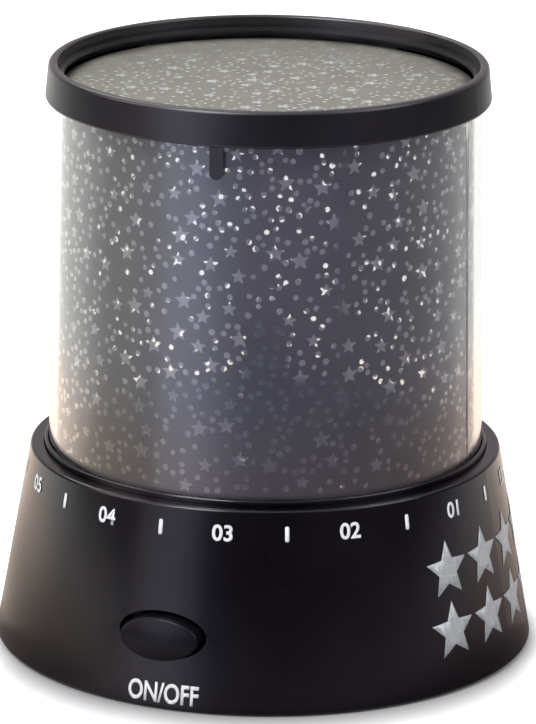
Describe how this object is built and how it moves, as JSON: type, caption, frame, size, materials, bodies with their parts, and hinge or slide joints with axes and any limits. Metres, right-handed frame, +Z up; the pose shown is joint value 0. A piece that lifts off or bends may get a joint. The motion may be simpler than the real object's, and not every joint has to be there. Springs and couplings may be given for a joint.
{
  "type": "planetarium projector",
  "caption": "Table-top star projector: a tapered base with side buttons carries a lamp tower under a turning clear shade lined with star film, read against a month dial.",
  "frame": {"origin": "centre of the footprint, on the surface that the feet stand on", "axes": "+Z up along the axis that the shade turns about, -Y towards the star button, +X to the right when facing that button"},
  "size_m": [0.11, 0.1108, 0.12],
  "materials": {
    "black_abs": "satin, finely textured",
    "black_plate": "satin",
    "zinc_screw": "zinc plated",
    "foot_rubber": "matt",
    "white_led": "clear lens",
    "amber_led": "clear lens",
    "tinned_lead": "tinned",
    "circuit_board": "solder resist",
    "resistor": "lacquered",
    "capacitor": "shrink sleeve",
    "chip": "moulded",
    "switch_body": "moulded",
    "plunger": "moulded",
    "jack_body": "moulded",
    "jack_pin": "nickel plated",
    "cell": "plain green sleeve",
    "spring_steel": "nickel plated",
    "red_lead": "insulated wire",
    "black_lead": "insulated wire",
    "yellow_lead": "insulated wire",
    "blue_lead": "insulated wire",
    "clear_styrene": "clear, polished",
    "star_film": "printed film",
    "window_film": "printed film",
    "button_black": "satin",
    "grey_foam": "foam"
  },
  "bodies": {
    "base": {"base_shell": "black_abs", "base_plate": "black_plate", "plate_screws": "zinc_screw", "rubber_feet": "foot_rubber", "lamp_tower": "black_abs", "tower_screws": "zinc_screw", "star_led": "white_led", "star_led_leads": "tinned_lead", "lamp_leds": "amber_led", "lamp_led_leads": "tinned_lead", "lamp_board": "circuit_board", "board_screws": "zinc_screw", "board_resistors": "resistor", "board_capacitor": "capacitor", "control_chip": "chip", "star_switch": "switch_body", "star_switch_board": "circuit_board", "lamp_switch": "switch_body", "lamp_switch_board": "circuit_board", "dc_jack": "jack_body", "dc_jack_pin": "jack_pin", "battery_cell_1": "cell", "battery_cell_2": "cell", "battery_cell_3": "cell", "battery_springs": "spring_steel", "battery_contacts": "spring_steel", "power_lead_red": "red_lead", "power_lead_black": "black_lead", "star_switch_leads": "yellow_lead", "lamp_switch_leads": "blue_lead", "jack_leads": "red_lead"},
    "turn_ring": {"turn_ring": "black_abs"},
    "shade": {"clear_cover": "clear_styrene", "star_film": "star_film", "top_star_film": "window_film", "top_ring": "black_abs"},
    "star_button": {"star_button": "button_black", "star_plunger": "plunger"},
    "lamp_button": {"lamp_button": "button_black", "lamp_plunger": "plunger"},
    "battery_door": {"battery_door": "black_plate", "door_pad": "grey_foam"}
  },
  "joints": [
    {"name": "shade_turn", "type": "hinge", "parent": "base", "child": "turn_ring", "pos_m": [0, 0, 0.037], "axis": [0, 0, 1], "continuous": true},
    {"name": "shade_lift", "type": "slide", "parent": "turn_ring", "child": "shade", "axis": [0, 0, 1], "range_m": [0, 0.06]},
    {"name": "star_button_press", "type": "slide", "parent": "base", "child": "star_button", "axis": [0, 1, 0], "range_m": [0, 0.002], "stiffness_N_per_m": 200, "springref_m": -0.002},
    {"name": "lamp_button_press", "type": "slide", "parent": "base", "child": "lamp_button", "axis": [0, -1, 0], "range_m": [0, 0.002], "stiffness_N_per_m": 200, "springref_m": -0.002},
    {"name": "battery_door_swing", "type": "hinge", "parent": "base", "child": "battery_door", "pos_m": [-0.02665, 0, 0.0024], "axis": [0, 1, 0], "range_deg": [0, 95]}
  ]
}
